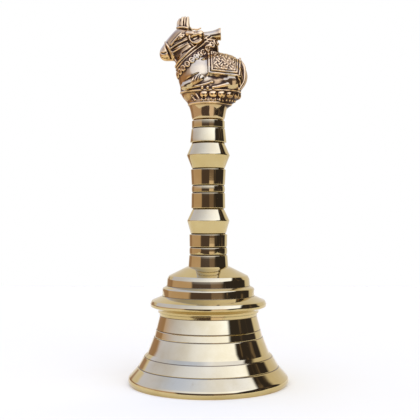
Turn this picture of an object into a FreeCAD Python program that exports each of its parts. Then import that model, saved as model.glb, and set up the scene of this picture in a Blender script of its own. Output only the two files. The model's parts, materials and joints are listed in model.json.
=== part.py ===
"""Brass puja bell with a bull (Nandi) finial, built the way it comes apart on a bench.

Millimetres, +Z up. The origin is the centre of the rim plane that the bell stands on. The bull faces -X.
Levels stack up from the rim, so a change of one height carries everything above it.
"""
import FreeCAD, Part
import math
import os

# ---- Driving dimensions: bell shell, from the rim upwards ----------------------------------------
rim_radius = 38.3            # widest point of the lip
lip_height = 3.3             # rounded lip, from the rim plane to the foot of the flare
lip_rounding = 2.0           # roundness of the lip's outer edge
lip_width = 2.9              # from the widest point in to the mouth's edge
foot_width = 2.0             # flat ring that the bell stands on
lip_draft = 0.1              # the lip's edge is this much narrower at half height
lip_setback = 0.3            # the flare starts this much inside the lip
flare_ring_radius = 33.5     # turned line half way up the flare
flare_ring_height = 4.9      # lip to that line
skirt_foot_radius = 30.5     # top of the flare
skirt_foot_height = 5.1      # flare line to skirt foot
skirt_foot_step = 1.6        # the skirt starts this much further in
skirt_foot_step_height = 1.5
skirt_foot_rounding = 1.8    # roundness of the flare's top edge
skirt_height = 9.1
skirt_top_radius = 26.0
waist_step = 0.2             # small turned step between skirt and waist, as deep as it is high
waist_height = 9.8
waist_top_radius = 23.2      # foot of the upright band under the collar
band_radius = 23.4
band_height = 1.4            # upright band
neck_radius = 24.1           # neck that carries the collar
neck_height = 1.3
neck_step_height = 0.3       # sloped step from band to neck
collar_radius = 27.7         # widest ring below the tiers
collar_under_height = 1.7    # sloping underside
collar_edge_height = 1.3     # upright edge
collar_nose_height = 1.4     # steep turned face above the edge
collar_nose_inset = 0.7      # how far that face leans in
collar_slope_height = 2.2    # flatter slope up to the tiers
collar_rounding = 0.7
lower_tier_radius = 22.05
lower_tier_draft = 0.1
lower_tier_height = 3.6
lower_tier_rounding = 0.8
upper_tier_radius = 19.95
tier_step_height = 1.1       # sloped step between the two tiers
upper_tier_height = 4.1
upper_tier_draft = 0.3
shoulder_chamfer = (0.8, 1.5)    # inwards, and upwards, of the turned edge above the upper tier
shoulder_rounding = 0.9
inner_corner_rounding = 0.3
mouth_rounding = 0.4
crown_slope_height = 5.1     # shoulder up to the handle's seat
seat_radius = 10.0           # flat seat that the handle stands on
wall = 2.4                   # shell thickness, square to its surface
crown_thickness = 5.2        # seat down to the ceiling
ceiling_rounding = 4.0

# ---- Driving dimensions: turned handle -----------------------------------------------------------
base_drum_radius = 9.25
base_drum_taper = 0.3        # how much wider its foot is
base_drum_height = 5.6
base_bead_radius = 9.1
base_bead_height = 3.6
neck_drum_radius = 9.1
neck_drum_height = 6.4
lower_knop_foot_radius = 8.5
lower_knop_radius = 10.15
lower_knop_foot_height = 6.3
lower_knop_head_height = 5.6
knop_rounding = 0.7
middle_drum_radius = 8.15
middle_drum_height = 7.8
middle_bead_radius = 8.0
middle_bead_height = 3.4
long_drum_radius = 8.4
long_drum_height = 8.0
upper_knop_foot_radius = 7.9
upper_knop_radius = 10.35
upper_knop_foot_height = 6.5
upper_knop_head_height = 5.8
top_drum_foot_radius = 8.75
top_drum_head_radius = 8.1
top_drum_height = 7.1
top_bead_radius = 7.95
top_bead_height = 3.8
groove_depth = 0.42          # grooves between the turned members
groove_width = 0.7
member_draft = 0.1           # how much a drum or bead narrows towards its ends
edge_rounding = 0.35         # roundness of the members' edges
lower_knop_head_inset = 0.8  # the lower knop's head is this much narrower than its foot

# ---- Driving dimensions: fasteners ---------------------------------------------------------------
bolt_radius = 3.0            # eye bolt's threaded shank
bolt_engagement = 12.0       # length of shank inside the handle
crown_hole_clearance = 0.3
thread_clearance = 0.05      # radial, between a thread and its nut or bore
washer_radius = 6.5
washer_thickness = 1.0
washer_bore_clearance = 0.2
nut_across_flats = 10.0
nut_height = 3.2
stud_radius = 2.5            # stud between handle and finial
stud_in_handle = 11.0
stud_in_finial = 7.0
stud_tip_gap = 1.0

# ---- Driving dimensions: clapper -----------------------------------------------------------------
running_gap = 0.15           # between the hanging rings
eye_wire_radius = 1.25
eye_ring_radius = 3.0        # centre of the eye to the centre of its wire
eye_standoff = 0.6           # nut to the top of the eye
link_wire_radius = 0.9
link_end_radius = 2.6
link_straight = 4.4          # straight sides of the link
clapper_wire_radius = 1.1
clapper_loop_radius = 2.5
ball_radius = 6.4
ball_bore_clearance = 0.05
tip_radius = 1.8             # peened end of the rod under the ball
tip_height = 0.9
tip_above_rim = 2.0

# ---- Driving dimensions: finial ------------------------------------------------------------------
cup_foot_radius = 7.5
cup_radius = 8.5
cup_mouth_radius = 10.2
cup_foot_height = 0.9
cup_height = 5.6             # foot to the start of the flared mouth
cup_flare_height = 3.0
cup_foot_flare = 0.3         # cup just above its foot, less than its full radius
cup_flare_rounding = 1.0
bull_half_width = 10.4

V = FreeCAD.Vector
UP = V(0, 0, 1)

# ---- Levels that follow from the heights ---------------------------------------------------------
flare_ring_z = lip_height + flare_ring_height
skirt_foot_z = flare_ring_z + skirt_foot_height
waist_z = skirt_foot_z + skirt_height
groove_z = waist_z + waist_height
neck_z = groove_z + band_height
collar_foot_z = neck_z + neck_height
collar_edge_z = collar_foot_z + collar_under_height
collar_nose_z = collar_edge_z + collar_edge_height
collar_top_z = collar_nose_z + collar_nose_height
lower_tier_z = collar_top_z + collar_slope_height
tier_step_z = lower_tier_z + lower_tier_height
upper_tier_z = tier_step_z + tier_step_height
shoulder_z = upper_tier_z + upper_tier_height
seat_z = shoulder_z + crown_slope_height
ceiling_z = seat_z - crown_thickness
nut_top_z = ceiling_z - washer_thickness
nut_bottom_z = nut_top_z - nut_height
eye_z = nut_bottom_z - eye_standoff - eye_wire_radius - eye_ring_radius
link_pivot_z = eye_z - eye_ring_radius
link_top_z = link_pivot_z + eye_wire_radius + running_gap + link_wire_radius
clapper_pivot_z = link_top_z - 2 * link_end_radius - link_straight
loop_z = clapper_pivot_z + link_wire_radius + running_gap + clapper_wire_radius - clapper_loop_radius
ball_z = tip_above_rim + tip_height + ball_radius


def rounded_edges(corners):
    """Closed outline through (x, z) or (x, z, rounding) corners, in the XZ plane."""
    points = [V(corner[0], 0, corner[1]) for corner in corners]
    radii = [corner[2] if len(corner) == 3 else 0.0 for corner in corners]
    starts, ends, arcs = [], [], []
    for i, point in enumerate(points):
        to_last = (points[i - 1] - point).normalize()
        to_next = (points[(i + 1) % len(points)] - point).normalize()
        if radii[i] == 0.0:
            starts.append(point)
            ends.append(point)
            arcs.append(None)
            continue
        half_angle = to_last.getAngle(to_next) / 2
        reach = radii[i] / math.tan(half_angle)
        centre = point + (to_last + to_next).normalize() * (radii[i] / math.sin(half_angle))
        middle = centre + (point - centre).normalize() * radii[i]
        starts.append(point + to_last * reach)
        ends.append(point + to_next * reach)
        arcs.append(Part.Arc(starts[i], middle, ends[i]).toShape())
    edges = []
    for i in range(len(points)):
        if arcs[i] is not None:
            edges.append(arcs[i])
        following = starts[(i + 1) % len(points)]
        edges.append(Part.LineSegment(ends[i], following).toShape())
    return edges


def lathe(corners):
    """Solid of revolution about Z of a closed outline, listed anticlockwise with X to the right."""
    face = Part.Face(Part.Wire(rounded_edges(corners)))
    return face.revolve(V(0, 0, 0), UP, 360)


def cylinder(radius, bottom, top):
    return Part.makeCylinder(radius, top - bottom, V(0, 0, bottom))


def inset_corner(before, corner, after, depth):
    """Corner of an outline that runs downwards, moved towards the axis by depth, square to both sides."""
    first = (corner - before).normalize()
    second = (after - corner).normalize()
    first_normal = V(first.z, 0, -first.x)
    second_normal = V(second.z, 0, -second.x)
    normal = (first_normal + second_normal).normalize()
    return corner + normal * (depth / normal.dot(first_normal))


def ellipsoid(centre, semi_axes, tilt=0.0):
    """Ellipsoid, tilted about Y by tilt degrees."""
    stretch = FreeCAD.Matrix()
    stretch.scale(V(*semi_axes))
    body = Part.makeSphere(1.0).transformGeometry(stretch)
    body.rotate(V(0, 0, 0), V(0, 1, 0), tilt)
    body.translate(V(*centre))
    return body


def cone_between(start, end, start_radius, end_radius):
    axis = V(*end) - V(*start)
    return Part.makeCone(start_radius, end_radius, axis.Length, V(*start), axis)


def fuse(pieces):
    """One solid of overlapping pieces, without leftover seams."""
    joined = pieces[0].multiFuse(pieces[1:]).removeSplitter()
    return joined.Solids[0] if len(joined.Solids) == 1 else joined


def make_bell_shell():
    """Cast and turned shell: lip, flare, skirt, waist, collar, two tiers and a sloping crown."""
    skirt_radius = skirt_foot_radius - skirt_foot_step
    shoulder_in, shoulder_up = shoulder_chamfer
    shoulder_radius = upper_tier_radius - upper_tier_draft
    outer = [
        (rim_radius - lip_width + foot_width, 0),
        (rim_radius - lip_draft, lip_height / 2, lip_rounding / 4),
        (rim_radius - lip_setback, lip_height, lip_rounding),
        (flare_ring_radius, flare_ring_z),
        (skirt_foot_radius, skirt_foot_z, skirt_foot_rounding),
        (skirt_radius, skirt_foot_z + skirt_foot_step_height, inner_corner_rounding),
        (skirt_top_radius, waist_z - waist_step),
        (skirt_top_radius - waist_step, waist_z),
        (waist_top_radius, groove_z),
        (band_radius, groove_z + waist_step),
        (band_radius, neck_z),
        (neck_radius, neck_z + neck_step_height),
        (neck_radius, collar_foot_z, inner_corner_rounding),
        (collar_radius, collar_edge_z, collar_rounding),
        (collar_radius, collar_nose_z, collar_rounding),
        (collar_radius - collar_nose_inset, collar_top_z, collar_rounding),
        (lower_tier_radius, lower_tier_z, inner_corner_rounding),
        (lower_tier_radius - lower_tier_draft, tier_step_z, lower_tier_rounding),
        (upper_tier_radius, upper_tier_z, inner_corner_rounding),
        (shoulder_radius, shoulder_z - shoulder_up / 2, shoulder_rounding),
        (shoulder_radius - shoulder_in, shoulder_z + shoulder_up / 2, shoulder_rounding),
        (seat_radius, seat_z),
        (crown_hole_radius(), seat_z),
    ]
    core = [
        V(0, 0, ceiling_z + wall),
        V(upper_tier_radius, 0, ceiling_z + wall),
        V(waist_top_radius, 0, groove_z),
        V(skirt_top_radius - waist_step, 0, waist_z),
        V(skirt_radius, 0, skirt_foot_z),
        V(flare_ring_radius, 0, flare_ring_z),
        V(rim_radius, 0, lip_height),
    ]
    inner = [(crown_hole_radius(), ceiling_z)]
    for before, corner, after in zip(core, core[1:], core[2:]):
        point = inset_corner(before, corner, after, wall)
        rounding = ceiling_rounding if len(inner) == 1 else wall
        inner.append((point.x, point.z, rounding))
    inner.append((rim_radius - lip_width, 0, mouth_rounding))
    return lathe(outer + inner)


def crown_hole_radius():
    return bolt_radius + crown_hole_clearance


def handle_members():
    """Turned members of the handle from its foot up: height, foot, widest and head radius, and the
    height of the widest point."""
    base_bead_end = base_bead_radius - member_draft
    middle_bead_end = middle_bead_radius - member_draft
    lower_knop_height = lower_knop_foot_height + lower_knop_head_height
    lower_knop_head = lower_knop_foot_radius - lower_knop_head_inset
    upper_knop_height = upper_knop_foot_height + upper_knop_head_height
    upper_knop_head = upper_knop_foot_radius + member_draft
    return [
        (base_drum_height, base_drum_radius + base_drum_taper, None, base_drum_radius - member_draft, None),
        (base_bead_height, base_bead_end, base_bead_radius, base_bead_end, base_bead_height / 2),
        (neck_drum_height, neck_drum_radius - member_draft, None, neck_drum_radius, None),
        (lower_knop_height, lower_knop_foot_radius, lower_knop_radius, lower_knop_head,
         lower_knop_foot_height),
        (middle_drum_height, middle_drum_radius, None, middle_drum_radius - member_draft, None),
        (middle_bead_height, middle_bead_end, middle_bead_radius, middle_bead_end, middle_bead_height / 2),
        (long_drum_height, middle_bead_radius, None, long_drum_radius, None),
        (upper_knop_height, upper_knop_foot_radius, upper_knop_radius, upper_knop_head,
         upper_knop_foot_height),
        (top_drum_height, top_drum_foot_radius, None, top_drum_head_radius, None),
        (top_bead_height, top_bead_radius, None, top_bead_radius, None),
    ]


def handle_height():
    return sum(member[0] for member in handle_members())


def make_handle_grip():
    """Turned handle with a blind threaded bore at each end."""
    outline = []
    level = seat_z
    for height, foot, widest, head, widest_at in handle_members():
        if outline:
            outline.append((min(foot, outline[-1][0]) - groove_depth, level))
        outline.append((foot, level + groove_width / 2, edge_rounding))
        if widest is not None:
            outline.append((widest, level + widest_at, knop_rounding))
        level += height
        outline.append((head, level - groove_width / 2, edge_rounding))
    outline[0] = (base_drum_radius + base_drum_taper, seat_z)
    outline.append((cup_foot_radius, level))
    outline.append((0, level))
    outline.append((0, seat_z))
    body = lathe(outline)
    lower_bore = cylinder(bolt_radius + thread_clearance, seat_z, seat_z + bolt_engagement)
    upper_bore = cylinder(stud_radius + thread_clearance, level - stud_in_handle, level)
    return body.cut(lower_bore).cut(upper_bore)


def make_eye_bolt():
    """Threaded shank with a closed eye, screwed home in the handle from inside the bell."""
    shank = cylinder(bolt_radius, eye_z + eye_ring_radius + eye_wire_radius / 2, seat_z + bolt_engagement)
    eye = Part.makeTorus(eye_ring_radius, eye_wire_radius, V(0, 0, eye_z), V(0, 1, 0))
    return fuse([shank, eye])


def make_crown_washer():
    disc = cylinder(washer_radius, nut_top_z, ceiling_z)
    return disc.cut(cylinder(bolt_radius + washer_bore_clearance, nut_top_z, ceiling_z))


def make_crown_nut():
    corner_radius = nut_across_flats / math.sqrt(3)
    corners = []
    for i in range(7):
        angle = math.radians(60 * i)
        corners.append(V(corner_radius * math.cos(angle), corner_radius * math.sin(angle), nut_bottom_z))
    prism = Part.Face(Part.makePolygon(corners)).extrude(UP * nut_height)
    chamfer = (corner_radius - nut_across_flats / 2) / 2
    turned = lathe([
        (0, nut_bottom_z),
        (nut_across_flats / 2, nut_bottom_z),
        (corner_radius, nut_bottom_z + chamfer),
        (corner_radius, nut_top_z),
        (0, nut_top_z),
    ])
    bore = cylinder(bolt_radius + thread_clearance, nut_bottom_z, nut_top_z)
    return prism.common(turned).cut(bore)


def make_finial_stud():
    handle_top = seat_z + handle_height()
    return cylinder(stud_radius, handle_top - stud_in_handle, handle_top + stud_in_finial)


def make_clapper_link():
    """Oval wire link in the YZ plane, hanging in the eye of the bolt."""
    upper_centre = link_top_z - link_end_radius
    lower_centre = upper_centre - link_straight
    sides = []
    for side in (-1, 1):
        start = V(0, side * link_end_radius, lower_centre)
        sides.append(Part.makeCylinder(link_wire_radius, link_straight, start))
    ring_axis = V(1, 0, 0)
    upper_ring = Part.makeTorus(link_end_radius, link_wire_radius, V(0, 0, upper_centre), ring_axis)
    lower_ring = Part.makeTorus(link_end_radius, link_wire_radius, V(0, 0, lower_centre), ring_axis)
    reach = link_end_radius + link_wire_radius
    block = Part.makeBox(2 * reach, 2 * reach, link_straight, V(-reach, -reach, lower_centre))
    below = Part.makeBox(2 * reach, 2 * reach, reach, V(-reach, -reach, upper_centre - reach))
    above = Part.makeBox(2 * reach, 2 * reach, reach, V(-reach, -reach, lower_centre))
    ends = [upper_ring.cut(below).cut(block), lower_ring.cut(above).cut(block)]
    return fuse(ends + sides)


def make_clapper_rod():
    """Wire rod: a closed loop on top, and an end peened over under the ball."""
    loop = Part.makeTorus(clapper_loop_radius, clapper_wire_radius, V(0, 0, loop_z), V(0, 1, 0))
    loop_foot = loop_z - clapper_loop_radius
    rod = cylinder(clapper_wire_radius, tip_above_rim + tip_height, loop_foot)
    tip = lathe([
        (0, tip_above_rim),
        (tip_radius, tip_above_rim, tip_height / 2),
        (tip_radius, tip_above_rim + tip_height),
        (0, tip_above_rim + tip_height),
    ])
    return fuse([loop, rod, tip])


def make_clapper_ball():
    """Turned ball, bored for the rod, with a flat seat for the rod's peened end."""
    ball = Part.makeSphere(ball_radius, V(0, 0, ball_z))
    below = ball_z - 2 * ball_radius
    above = ball_z + 2 * ball_radius
    bore = cylinder(clapper_wire_radius + ball_bore_clearance, below, above)
    seat_depth = ball_radius - math.sqrt(ball_radius ** 2 - tip_radius ** 2)
    foot = cylinder(ball_radius, below, tip_above_rim + tip_height)
    boss = cylinder(tip_radius, tip_above_rim + tip_height, tip_above_rim + tip_height + 2 * seat_depth)
    return ball.fuse(boss).removeSplitter().cut(foot).cut(bore)


def make_nandi_finial():
    """Cast finial: a flared cup and lotus base that carry a resting bull."""
    base = seat_z + handle_height()
    flare_z = base + cup_height
    mouth_z = flare_z + cup_flare_height
    cup = lathe([
        (0, base),
        (cup_foot_radius, base),
        (cup_radius - cup_foot_flare, base + cup_foot_height, edge_rounding),
        (cup_radius, flare_z, cup_flare_rounding),
        (cup_mouth_radius, mouth_z),
        (0, mouth_z),
    ])
    width = bull_half_width

    def at(x, y, z):
        return (x, y, base + z)

    pieces = [
        cup,
        ellipsoid(at(1.6, 0, 14.9), (15.3, width, 9.4)),                 # lotus base
        ellipsoid(at(3.3, 0, 22.6), (15.9, width - 0.3, 11.0)),          # barrel and rump
        ellipsoid(at(-6.3, 0, 22.5), (9.2, width - 1.5, 9.6)),           # chest
        ellipsoid(at(-6.6, 0, 31.5), (9.0, width - 3.4, 10.0)),          # neck
        ellipsoid(at(0.6, 0, 35.2), (5.0, width - 5.2, 6.8)),            # hump
        cone_between(at(-3.4, 0, 42.1), at(6.1, 0, 42.1), 2.2, 2.8),     # cap of the hump
        ellipsoid(at(-12.3, 0, 38.6), (5.4, 4.9, 5.6), 30),              # skull
        cone_between(at(-12.6, 0, 38.4), at(-20.2, 0, 32.6), 4.6, 3.2),  # nose
        ellipsoid(at(-20.2, 0, 32.5), (3.3, 3.4, 3.3)),                  # muzzle
        cone_between(at(-14.0, 0, 42.0), at(-14.0, 0, 48.6), 1.9, 1.5),  # crest
    ]
    for side in (-1, 1):
        pieces.append(cone_between(at(-10.6, side * 2.2, 42.0), at(-10.3, side * 2.5, 50.1), 1.8, 1.0))
        pieces.append(ellipsoid(at(-5.8, side * 6.2, 39.7), (3.7, 1.7, 3.7)))
        pieces.append(ellipsoid(at(-8.8, side * 7.3, 16.9), (4.6, 2.7, 2.6), -8))
        pieces.append(ellipsoid(at(11.0, side * 6.4, 19.4), (5.4, 4.2, 7.2)))
    solid = fuse(pieces)
    return solid.cut(cylinder(stud_radius + thread_clearance, base, base + stud_in_finial + stud_tip_gap))


def make_all():
    return {
        "bell_shell": make_bell_shell(),
        "handle_grip": make_handle_grip(),
        "nandi_finial": make_nandi_finial(),
        "finial_stud": make_finial_stud(),
        "eye_bolt": make_eye_bolt(),
        "crown_washer": make_crown_washer(),
        "crown_nut": make_crown_nut(),
        "clapper_link": make_clapper_link(),
        "clapper_rod": make_clapper_rod(),
        "clapper_ball": make_clapper_ball(),
    }


def main():
    os.makedirs("parts", exist_ok=True)
    for node, shape in make_all().items():
        solids = shape.Solids
        print(f"{node}: solids {len(solids)}, valid {shape.isValid()}, volume {shape.Volume:.1f} mm3")
        shape.exportStep(f"parts/{node}.step")
    print(f"link pivot z {link_pivot_z:.2f}, clapper pivot z {clapper_pivot_z:.2f}, seat z {seat_z:.2f}")
    print(f"ball centre z {ball_z:.2f}, handle top z {seat_z + handle_height():.2f}")


main()
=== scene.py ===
"""Looks of the brass puja bell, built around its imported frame.

The turned pieces are lathed again from the outlines that the frame's own meshes hold, finely enough to
mirror cleanly. The finial is modelled as a sculptor would: rough forms blended into one body, then straps,
garlands, legs and petals laid on its surface, one skin over everything, and the cloth and lines carved in.
Sculpting works in millimetres, with levels measured up from the finial's foot; Blender works in metres.
"""
import json
import math

import bpy
import numpy as np
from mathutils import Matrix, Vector
from mathutils.bvhtree import BVHTree


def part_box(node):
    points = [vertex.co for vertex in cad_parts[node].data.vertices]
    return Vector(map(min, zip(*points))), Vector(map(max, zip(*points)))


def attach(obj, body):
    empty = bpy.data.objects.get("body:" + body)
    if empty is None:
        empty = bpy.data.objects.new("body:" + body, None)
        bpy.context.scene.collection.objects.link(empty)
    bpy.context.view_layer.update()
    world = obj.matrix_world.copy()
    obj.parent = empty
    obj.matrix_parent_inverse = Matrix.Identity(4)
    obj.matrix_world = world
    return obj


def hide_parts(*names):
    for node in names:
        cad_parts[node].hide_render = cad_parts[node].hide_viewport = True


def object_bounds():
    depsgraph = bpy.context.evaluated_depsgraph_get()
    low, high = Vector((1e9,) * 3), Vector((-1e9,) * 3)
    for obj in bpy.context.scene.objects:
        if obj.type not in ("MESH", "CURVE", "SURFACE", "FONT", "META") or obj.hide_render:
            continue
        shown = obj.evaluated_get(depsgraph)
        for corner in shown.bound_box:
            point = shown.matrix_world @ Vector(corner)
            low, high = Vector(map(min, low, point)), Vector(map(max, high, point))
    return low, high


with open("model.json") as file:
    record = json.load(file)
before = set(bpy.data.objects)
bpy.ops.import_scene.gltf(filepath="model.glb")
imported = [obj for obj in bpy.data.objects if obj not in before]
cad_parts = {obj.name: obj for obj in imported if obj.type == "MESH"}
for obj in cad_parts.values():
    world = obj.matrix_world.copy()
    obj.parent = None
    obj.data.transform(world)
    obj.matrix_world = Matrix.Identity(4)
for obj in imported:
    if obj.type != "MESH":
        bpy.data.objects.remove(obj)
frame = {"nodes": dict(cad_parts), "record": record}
cad_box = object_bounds()

MM = 0.001
TAU = 2 * math.pi
SAME_SPOT = 1e-6             # metres: outline spots closer than this are one spot
ON_AXIS = 1e-7               # metres: an outline spot nearer to the axis than this is a pole
SHELL_SEGMENTS, GRIP_SEGMENTS, BALL_SEGMENTS = 288, 224, 96
ROUGH_VOXEL, FINE_VOXEL = 0.42, 0.21                     # millimetres, for the finial's two skins
SIDES = (-1, 1)              # the bull's near and far side


# ---- Mesh helpers --------------------------------------------------------------------------------
def in_scene(name, data):
    """New object for a mesh or a camera."""
    thing = bpy.data.objects.new(name, data)
    bpy.context.scene.collection.objects.link(thing)
    return thing


def shade_smooth(mesh):
    mesh.polygons.foreach_set("use_smooth", [True] * len(mesh.polygons))


def mesh_object(name, vertices, faces, sharp_angle=None):
    mesh = bpy.data.meshes.new(name)
    mesh.from_pydata([tuple(v) for v in vertices], [], faces)
    shade_smooth(mesh)
    if sharp_angle is not None:
        mesh.set_sharp_from_angle(angle=math.radians(sharp_angle))
    mesh.update()
    return in_scene(name, mesh)


def point_values(mesh, title, values):
    """Keeps one number for every point of a mesh, for its material to read."""
    mesh.attributes.new(title, "FLOAT", "POINT").data.foreach_set("value", np.array(values, np.float32))


def vertex_array(mesh):
    flat = np.empty(len(mesh.vertices) * 3)
    mesh.vertices.foreach_get("co", flat)
    return flat.reshape(-1, 3)


def smoothstep(low, high, value):
    t = np.clip((value - low) / (high - low), 0.0, 1.0)
    return t * t * (3.0 - 2.0 * t)


def stand_in(piece, node):
    """The piece is shown in place of the CAD node, which is hidden, and moves with its body."""
    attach(piece, body_of_node[node])
    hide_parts(node)


body_of_node = {}
for body_name, members in frame["record"]["behaviour"]["bodies"].items():
    for member in members:
        body_of_node[member] = body_name


# ---- Turned pieces -------------------------------------------------------------------------------
def turned_outline(node):
    """Outline of a turned CAD node as (radius, level), anticlockwise: its mesh edges on the half plane
    y = 0, x >= 0, chained end to end. An outline that stops at a flat disc runs on to the axis."""
    points = vertex_array(frame["nodes"][node].data)
    links = {}
    where = {}

    def spot(index):
        x, y, z = points[index]
        if abs(y) > SAME_SPOT or x < -SAME_SPOT:
            return None
        name = (round(x / SAME_SPOT), round(z / SAME_SPOT))
        where[name] = (max(x, 0.0), z)
        return name

    for edge in frame["nodes"][node].data.edges:
        a, b = (spot(i) for i in edge.vertices)
        if a is not None and b is not None and a != b:
            links.setdefault(a, set()).add(b)
            links.setdefault(b, set()).add(a)
    ends = sorted(name for name in links if len(links[name]) == 1)
    path = [ends[0] if ends else min(links)]
    seen = set(path)
    while True:
        following = sorted(name for name in links[path[-1]] if name not in seen)
        if not following:
            break
        path.append(following[0])
        seen.add(following[0])
    outline = [where[name] for name in path]
    if ends:
        outline = [(0.0, outline[0][1])] + outline + [(0.0, outline[-1][1])]
    area = 0.0
    for (r0, z0), (r1, z1) in zip(outline, outline[1:] + outline[:1]):
        area += r0 * z1 - r1 * z0
    return outline if area > 0 else outline[::-1]


def scored(outline, level, depth, width):
    """The outline with a turned line cut into its outer side at a level. The outer side runs upwards."""
    cuts = [level + share * width for share in (-1.3, -1, -0.4, 0.4, 1, 1.3)]
    out = []
    for (r0, z0), (r1, z1) in zip(outline, outline[1:] + outline[:1]):
        upwards = z1 > z0
        out.append((r0 - depth * (upwards and abs(z0 - level) < 0.5 * width), z0))
        if not upwards:
            continue
        for z in cuts:
            if z0 < z < z1:
                r = r0 + (r1 - r0) * (z - z0) / (z1 - z0)
                out.append((r - depth * (abs(z - level) < 0.5 * width), z))
    return out


def groove_depths(outline, reach=0.0009, full=0.0003):
    """For every spot of an outline, 0 to 1: how deep it lies between wider spots above and below."""
    depths = []
    for r, z in outline:
        above = max([q for q, w in outline if z <= w < z + reach], default=r)
        below = max([q for q, w in outline if z - reach < w <= z], default=r)
        depths.append(min(1.0, max(0.0, (min(above, below) - r) / full)))
    return depths


def lathe(name, outline, segments, sharp_angle=28, marks=()):
    """Closed turned mesh. Spots on the axis become single poles. Its "groove" values are 1 in turned
    grooves and on the marks, which are (level, half width) pairs; there its material paints shade."""
    vertices = []
    rings = []
    for r, z in outline:
        if r < ON_AXIS:
            rings.append([len(vertices)])
            vertices.append((0.0, 0.0, z))
            continue
        rings.append(list(range(len(vertices), len(vertices) + segments)))
        for i in range(segments):
            angle = TAU * i / segments
            vertices.append((r * math.cos(angle), r * math.sin(angle), z))
    faces = []
    for lower, upper in zip(rings, rings[1:] + rings[:1]):
        if len(lower) == 1 and len(upper) == 1:
            continue
        for i in range(segments):
            j = (i + 1) % segments
            corners = [lower[i % len(lower)], lower[j % len(lower)],
                       upper[j % len(upper)], upper[i % len(upper)]]
            faces.append(tuple(dict.fromkeys(corners)))
    piece = mesh_object(name, vertices, faces, sharp_angle)
    values = []
    for (_, z), ring, depth in zip(outline, rings, groove_depths(outline)):
        marked = [1 - abs(z - level) / width for level, width in marks]
        values += [max([depth, 0.0] + marked)] * len(ring)
    point_values(piece.data, "groove", values)
    return piece


# ---- Sculpting, in millimetres -------------------------------------------------------------------
class Clay:
    """Closed lumps that a voxel skin later joins into one body."""

    def __init__(self):
        self.vertices = []
        self.faces = []

    def add(self, vertices, faces):
        start = len(self.vertices)
        self.vertices.extend(tuple(v) for v in vertices)
        self.faces.extend(tuple(start + i for i in face) for face in faces)

    def ball(self, centre, radii, tilt=0.0, rows=14, columns=20):
        """Ellipsoid, tilted about Y by tilt degrees."""
        radii = radii if isinstance(radii, tuple) else (radii, radii, radii)
        c, s = math.cos(math.radians(tilt)), math.sin(math.radians(tilt))
        vertices = []
        for row in range(rows + 1):
            polar = math.pi * row / rows
            count = 1 if row in (0, rows) else columns
            for column in range(count):
                turn = TAU * column / columns
                x = radii[0] * math.sin(polar) * math.cos(turn)
                y = radii[1] * math.sin(polar) * math.sin(turn)
                z = radii[2] * math.cos(polar)
                vertices.append((centre[0] + c * x + s * z, centre[1] + y, centre[2] - s * x + c * z))
        faces = []
        for row in range(rows):
            for column in range(columns):
                after = (column + 1) % columns
                upper = 1 + (row - 1) * columns
                lower = 1 + row * columns
                if row == 0:
                    faces.append((0, 1 + column, 1 + after))
                elif row == rows - 1:
                    faces.append((upper + column, len(vertices) - 1, upper + after))
                else:
                    faces.append((upper + column, lower + column, lower + after, upper + after))
        self.add(vertices, faces)

    def limb(self, spots, closed=False, sides=10):
        """Round limb through (x, y, z, radius) spots, smoothed between them."""
        path = smooth_path(spots, closed)
        count = len(path)
        frame_side = None
        vertices = []
        for i in range(count):
            before = path[i - 1] if closed or i > 0 else path[0]
            after = path[(i + 1) % count] if closed or i < count - 1 else path[-1]
            along = Vector(after[:3]) - Vector(before[:3])
            along.normalize()
            if frame_side is None:
                frame_side = along.orthogonal()
            frame_side = (frame_side - along * along.dot(frame_side)).normalized()
            across = along.cross(frame_side)
            for k in range(sides):
                turn = TAU * k / sides
                reach = frame_side * math.cos(turn) + across * math.sin(turn)
                vertices.append(Vector(path[i][:3]) + reach * path[i][3])
        faces = []
        for i in range(count if closed else count - 1):
            for k in range(sides):
                j = (i + 1) % count
                m = (k + 1) % sides
                faces.append((i * sides + k, i * sides + m, j * sides + m, j * sides + k))
        if not closed:
            faces.append(tuple(range(sides))[::-1])
            faces.append(tuple(range((count - 1) * sides, count * sides)))
        self.add(vertices, faces)
        if not closed:
            self.ball(path[0][:3], float(path[0][3]), rows=8, columns=sides)
            self.ball(path[-1][:3], float(path[-1][3]), rows=8, columns=sides)

    def turned(self, outline, columns=48):
        """Solid of revolution about the axis, of (radius, level) spots from the foot up."""
        vertices = [(0.0, 0.0, outline[0][1])]
        for r, z in outline:
            for k in range(columns):
                turn = TAU * k / columns
                vertices.append((r * math.cos(turn), r * math.sin(turn), z))
        vertices.append((0.0, 0.0, outline[-1][1]))
        faces = []
        for k in range(columns):
            m = (k + 1) % columns
            faces.append((0, 1 + m, 1 + k))
            top = 1 + (len(outline) - 1) * columns
            faces.append((len(vertices) - 1, top + k, top + m))
            for i in range(len(outline) - 1):
                low, high = 1 + i * columns, 1 + (i + 1) * columns
                faces.append((low + k, low + m, high + m, high + k))
        self.add(vertices, faces)

    def skin(self, voxel):
        """One closed mesh over all lumps."""
        lumps = mesh_object("clay", self.vertices, self.faces)
        remesh = lumps.modifiers.new("skin", "REMESH")
        remesh.mode = "VOXEL"
        remesh.voxel_size = voxel
        graph = bpy.context.evaluated_depsgraph_get()
        mesh = bpy.data.meshes.new_from_object(lumps.evaluated_get(graph))
        bpy.data.objects.remove(lumps)
        return mesh


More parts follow.
